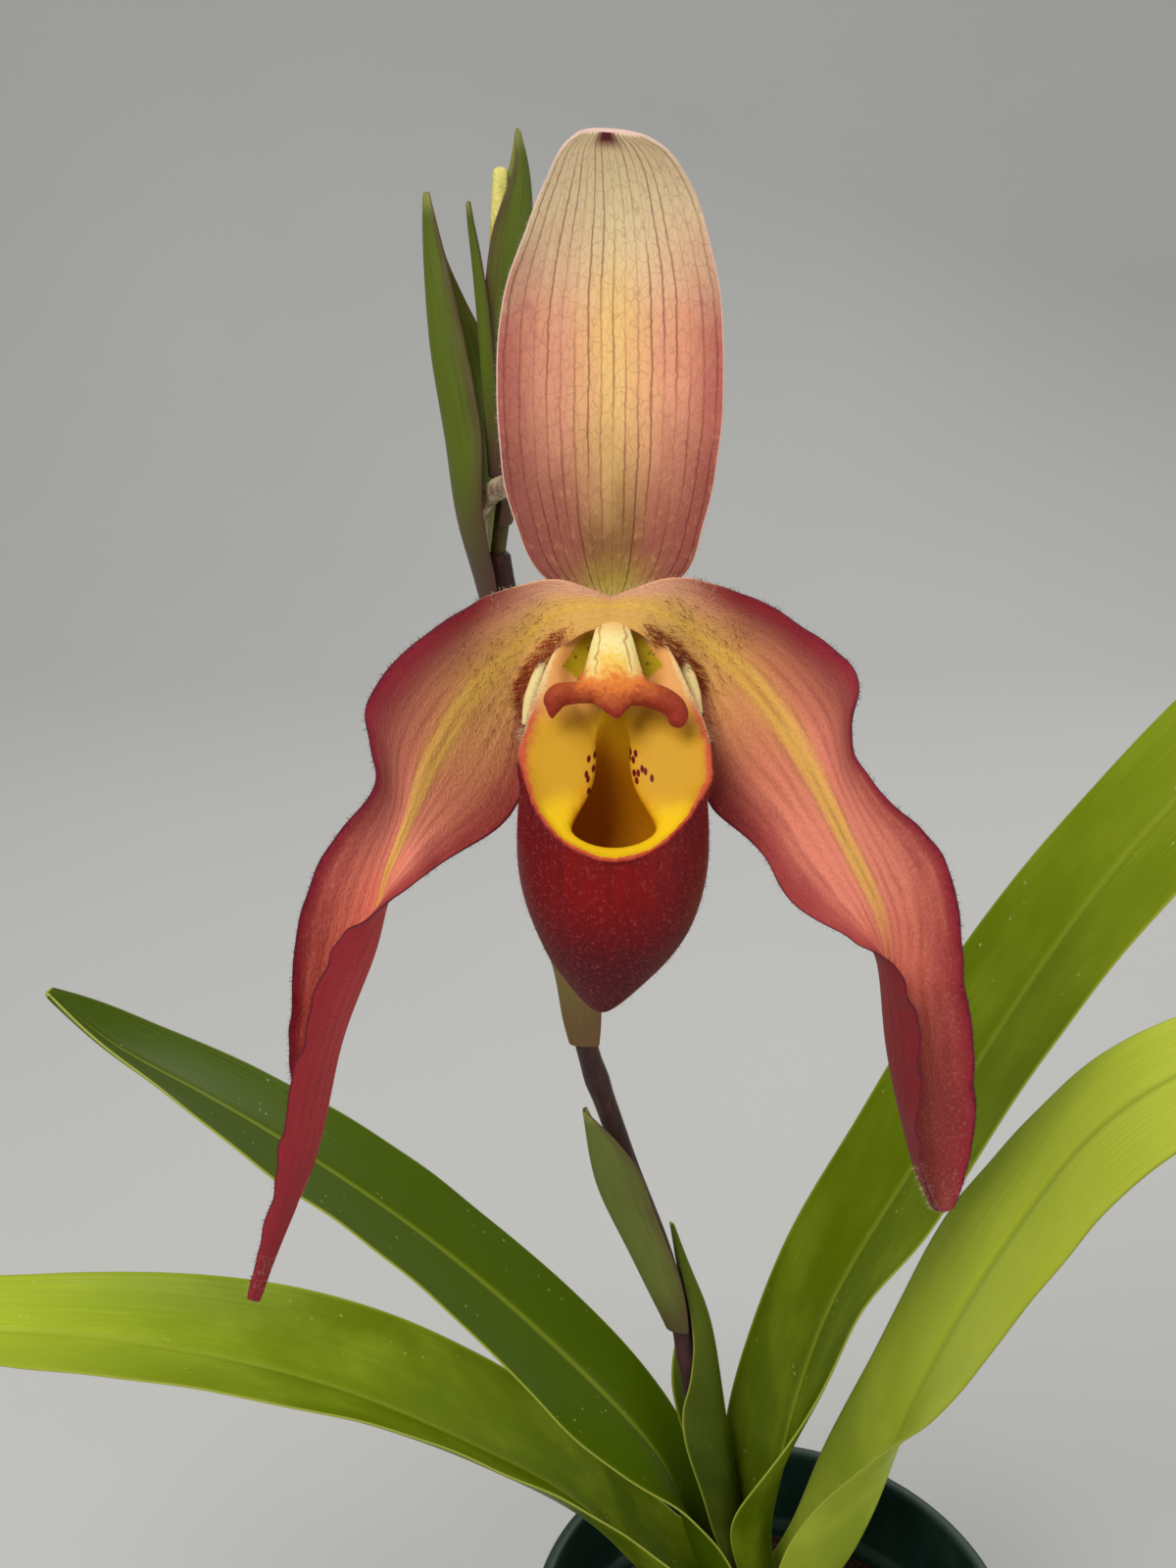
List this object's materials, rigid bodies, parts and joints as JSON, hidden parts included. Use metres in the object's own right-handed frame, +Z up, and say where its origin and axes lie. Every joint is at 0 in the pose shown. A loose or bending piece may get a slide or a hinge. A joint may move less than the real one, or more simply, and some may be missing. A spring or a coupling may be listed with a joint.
{
  "type": "potted phragmipedium orchid",
  "caption": "Potted slipper orchid with a fan of strap leaves, one open flower with long hanging petals and a hollow pouch, and a bud on an upright stem.",
  "frame": {"origin": "centre of the flat base of the pot, on the surface that it stands on", "axes": "+Z up along the pot's axis, -Y the way the open flower faces, +X to the right of a viewer who faces the flower"},
  "size_m": [0.4152, 0.1826, 0.4475],
  "materials": {
    "pot_plastic": "moulded dark green polypropylene, satin",
    "bark": "rough orchid bark, dry",
    "leaf": "living leaf, leathery and glossy, olive to yellow green",
    "bract": "living bract, olive green flushed with brown",
    "stem": "living stem, dark maroon, finely downy",
    "bud": "living bud, yellow green, downy",
    "ovary": "living ovary, pale beige, downy",
    "sepal": "living sepal, cream and yellow with maroon veins, velvety",
    "petal": "living petal, yellow to salmon and magenta red, velvety",
    "pouch": "living pouch, waxy crimson outside and yellow inside",
    "column": "living column, cream to orange brown, downy"
  },
  "bodies": {
    "root": {"pot": "pot_plastic", "potting_mix": "bark", "leaf_left_upper": "leaf", "leaf_left_lower": "leaf", "leaf_right_upper": "leaf", "leaf_right_lower": "leaf", "leaf_young": "leaf", "bract_lower": "bract", "bract_middle": "bract", "bract_flower": "bract", "bract_bud": "bract", "bract_small": "bract", "flower_stem": "stem", "bud": "bud", "ovary": "ovary", "dorsal_sepal": "sepal", "synsepal": "sepal", "petal_left": "petal", "petal_right": "petal", "pouch": "pouch", "column": "column"}
  },
  "joints": []
}
